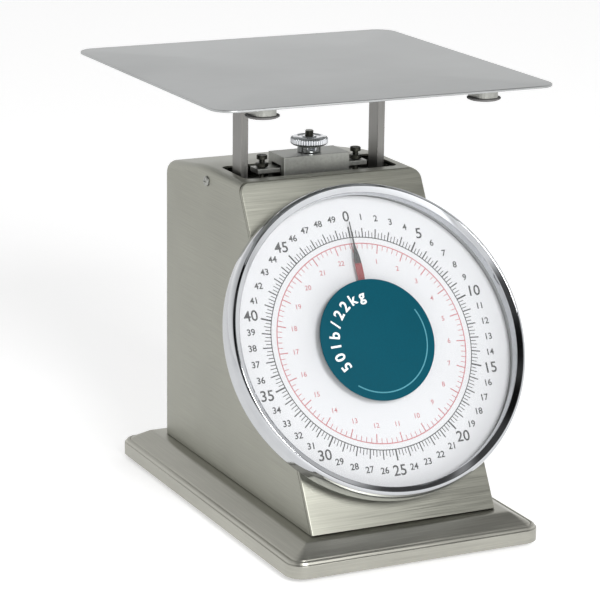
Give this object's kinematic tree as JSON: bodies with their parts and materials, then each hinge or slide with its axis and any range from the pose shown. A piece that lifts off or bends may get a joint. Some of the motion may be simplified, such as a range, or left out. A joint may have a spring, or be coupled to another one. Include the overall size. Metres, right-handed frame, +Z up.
{
  "type": "mechanical dial platform scale",
  "caption": "Spring platform scale with a leaning round dial, a square steel platform on two posts, a folded body on a sheet pan and a knob that sets zero.",
  "frame": {"origin": "middle of the footprint, on the surface that the feet stand on", "axes": "+Z up, -Y towards the reader of the dial, +X to the reader's right"},
  "size_m": [0.2286, 0.2748, 0.279],
  "materials": {
    "pan_stainless": "brushed stainless sheet, long straight grain",
    "platform_stainless": "brushed stainless sheet, fine satin",
    "shell_stainless": "brushed stainless sheet, satin",
    "panel_stainless": "brushed stainless sheet, lighter grain across",
    "rubber": "matt moulded rubber",
    "zinc_steel": "bright zinc plate",
    "dark_steel": "blackened steel",
    "spring_steel": "drawn spring wire",
    "chrome": "bright chrome plate",
    "brass": "turned brass",
    "nylon": "natural nylon",
    "dial_enamel": "white enamel with printed scale",
    "lens_glass": "clear flat lens",
    "teal_label": "satin teal printed disc",
    "pointer_paint": "red and black paint"
  },
  "bodies": {
    "housing": {"base_pan": "pan_stainless", "body_shell": "shell_stainless", "rear_cover": "shell_stainless", "front_panel": "panel_stainless", "chassis": "zinc_steel", "top_bridge": "zinc_steel", "upper_link_rod": "zinc_steel", "lower_link_rod": "zinc_steel", "dashpot_cylinder": "brass", "dashpot_cap": "zinc_steel", "movement_frame": "zinc_steel", "front_bush": "brass", "rear_bush": "brass", "rack_guide": "nylon", "dial_case": "zinc_steel", "dial_plate": "dial_enamel", "bezel": "chrome", "lens": "lens_glass", "centre_disc": "teal_label", "foot_front_left": "rubber", "foot_rear_left": "rubber", "foot_front_right": "rubber", "foot_rear_right": "rubber", "foot_screw_front_left": "zinc_steel", "foot_screw_rear_left": "zinc_steel", "foot_screw_front_right": "zinc_steel", "foot_screw_rear_right": "zinc_steel", "shell_screw_left": "zinc_steel", "shell_screw_right": "zinc_steel", "cover_screw_left": "zinc_steel", "cover_screw_right": "zinc_steel", "case_screw_1": "zinc_steel", "case_screw_2": "zinc_steel", "case_screw_3": "zinc_steel", "case_screw_4": "zinc_steel"},
    "carriage": {"carriage_frame": "platform_stainless", "platform_spider": "zinc_steel", "platform": "platform_stainless", "platform_pad_front_left": "rubber", "platform_pad_rear_left": "rubber", "platform_pad_front_right": "rubber", "platform_pad_rear_right": "rubber", "drive_arm": "zinc_steel", "dashpot_piston": "zinc_steel", "spring_left": "spring_steel", "spring_right": "spring_steel"},
    "rack": {"rack": "brass", "rack_pin": "zinc_steel"},
    "pointer": {"pinion": "brass", "pinion_shaft": "zinc_steel", "pointer_hub": "brass", "pointer_hand": "pointer_paint"},
    "yoke": {"yoke": "zinc_steel", "hanger_screw_left": "dark_steel", "hanger_screw_right": "dark_steel"},
    "zero_knob": {"zero_knob": "chrome"},
    "upper_link": {"upper_check_link": "zinc_steel"},
    "lower_link": {"lower_check_link": "zinc_steel"}
  },
  "joints": [
    {"name": "carriage_slide", "type": "slide", "parent": "housing", "child": "carriage", "axis": [0, 0, 1], "range_m": [-0.01975, 0], "stiffness_N_per_m": 11260, "springref_m": 0.003, "deforming": ["spring_left", "spring_right"]},
    {"name": "rack_slide", "type": "slide", "parent": "housing", "child": "rack", "axis": [0, 0.4871, 0.8734], "range_m": [-0.0228, 0.0002]},
    {"name": "pointer_spin", "type": "hinge", "parent": "housing", "child": "pointer", "pos_m": [0, -0.06215, 0.11846], "axis": [0, 0.8734, -0.4871], "range_deg": [-0.5, 360.5]},
    {"name": "zero_knob_turn", "type": "hinge", "parent": "housing", "child": "zero_knob", "pos_m": [0, 0.0231, 0.2298], "axis": [0, 0, 1], "range_deg": [-361, 361]},
    {"name": "yoke_slide", "type": "slide", "parent": "housing", "child": "yoke", "axis": [0, 0, 1], "range_m": [-0.0008, 0.0008]},
    {"name": "upper_link_pivot", "type": "hinge", "parent": "housing", "child": "upper_link", "pos_m": [0, 0.0897, 0.18], "axis": [1, 0, 0], "range_deg": [-0.2, 17.25]},
    {"name": "lower_link_pivot", "type": "hinge", "parent": "housing", "child": "lower_link", "pos_m": [0, 0.0897, 0.07], "axis": [1, 0, 0], "range_deg": [-0.2, 17.25]}
  ],
  "couplings": [
    {"joint": "rack_slide", "follows": "carriage_slide", "ratio": 1.145},
    {"joint": "pointer_spin", "follows": "carriage_slide", "rad_per_m": -318.06},
    {"joint": "upper_link_pivot", "follows": "carriage_slide", "rad_per_m": -14.98},
    {"joint": "lower_link_pivot", "follows": "carriage_slide", "rad_per_m": -14.98},
    {"joint": "zero_knob_turn", "follows": "yoke_slide", "rad_per_m": 7854}
  ]
}
